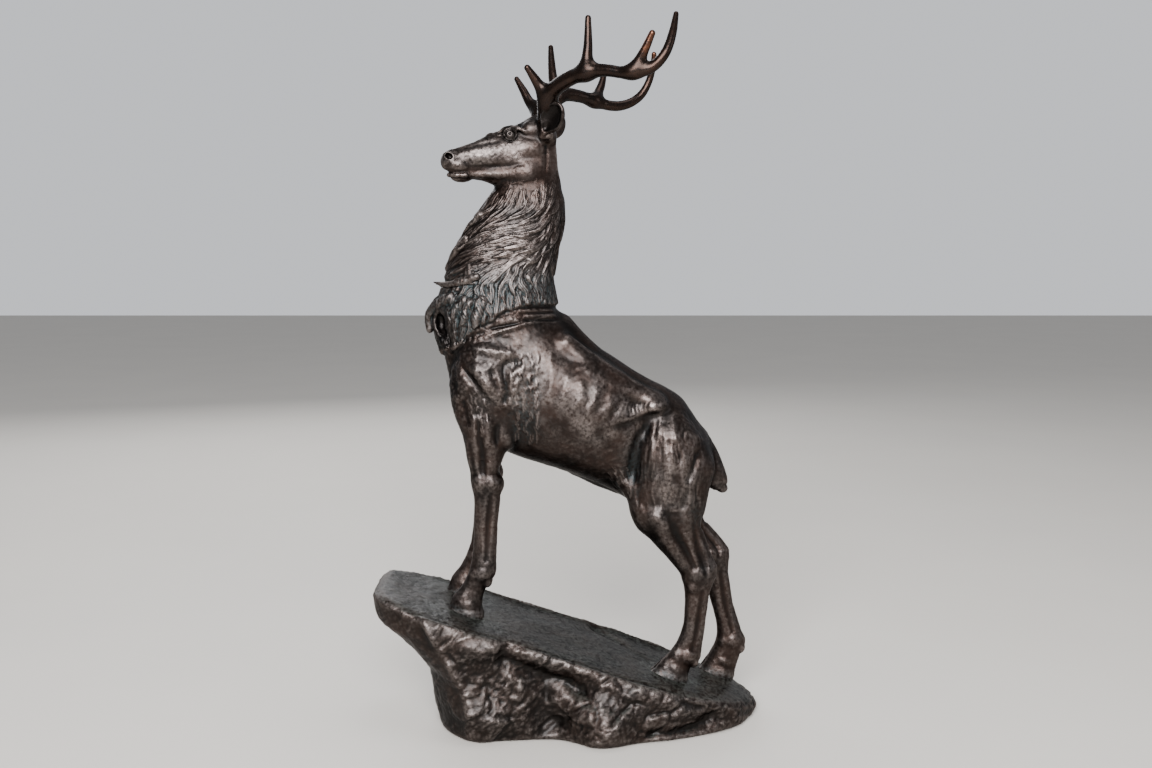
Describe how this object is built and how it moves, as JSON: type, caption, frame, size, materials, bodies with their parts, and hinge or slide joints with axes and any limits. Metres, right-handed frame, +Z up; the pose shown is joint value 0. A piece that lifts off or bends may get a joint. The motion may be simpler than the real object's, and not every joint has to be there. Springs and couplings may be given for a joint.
{
  "type": "stag statuette",
  "caption": "Cast bronze stag with branching antlers, standing head up on a sloping rock base; a static ornament that rests on its flat felted underside.",
  "frame": {"origin": "middle of the flat felted face that the statuette rests on", "axes": "+Z up, the stag faces -X, its left side towards -Y, its middle plane at Y = 0"},
  "size_m": [0.388, 0.1907, 0.6867],
  "materials": {
    "bronze": "cast bronze with a polished dark brown patina, warm brown where worn and green-blue in the recesses",
    "rock_bronze": "cast bronze, matt dark green-brown on top and rough, glossy brown-black on the broken faces",
    "pin_bronze": "bare bronze rod",
    "steel": "zinc plated",
    "board": "plain fibreboard",
    "felt": "green baize"
  },
  "bodies": {
    "root": {"base_felt": "felt", "base_board": "board", "rock_base": "rock_bronze", "torso": "bronze", "neck": "bronze", "head": "bronze", "tail": "bronze", "board_screw_1": "steel", "board_screw_2": "steel", "board_screw_3": "steel", "board_screw_4": "steel", "left_antler": "bronze", "right_antler": "bronze", "left_ear": "bronze", "right_ear": "bronze", "left_fore_leg": "bronze", "right_fore_leg": "bronze", "left_hind_leg": "bronze", "right_hind_leg": "bronze", "left_fore_leg_pin": "pin_bronze", "right_fore_leg_pin": "pin_bronze", "left_hind_leg_pin": "pin_bronze", "right_hind_leg_pin": "pin_bronze", "left_fore_stud": "steel", "right_fore_stud": "steel", "left_hind_stud": "steel", "right_hind_stud": "steel", "left_fore_washer": "steel", "right_fore_washer": "steel", "left_hind_washer": "steel", "right_hind_washer": "steel", "left_fore_nut": "steel", "right_fore_nut": "steel", "left_hind_nut": "steel", "right_hind_nut": "steel", "left_neck_pin": "pin_bronze", "right_neck_pin": "pin_bronze", "left_antler_pin": "pin_bronze", "right_antler_pin": "pin_bronze", "head_pin": "pin_bronze", "tail_pin": "pin_bronze"}
  },
  "joints": []
}
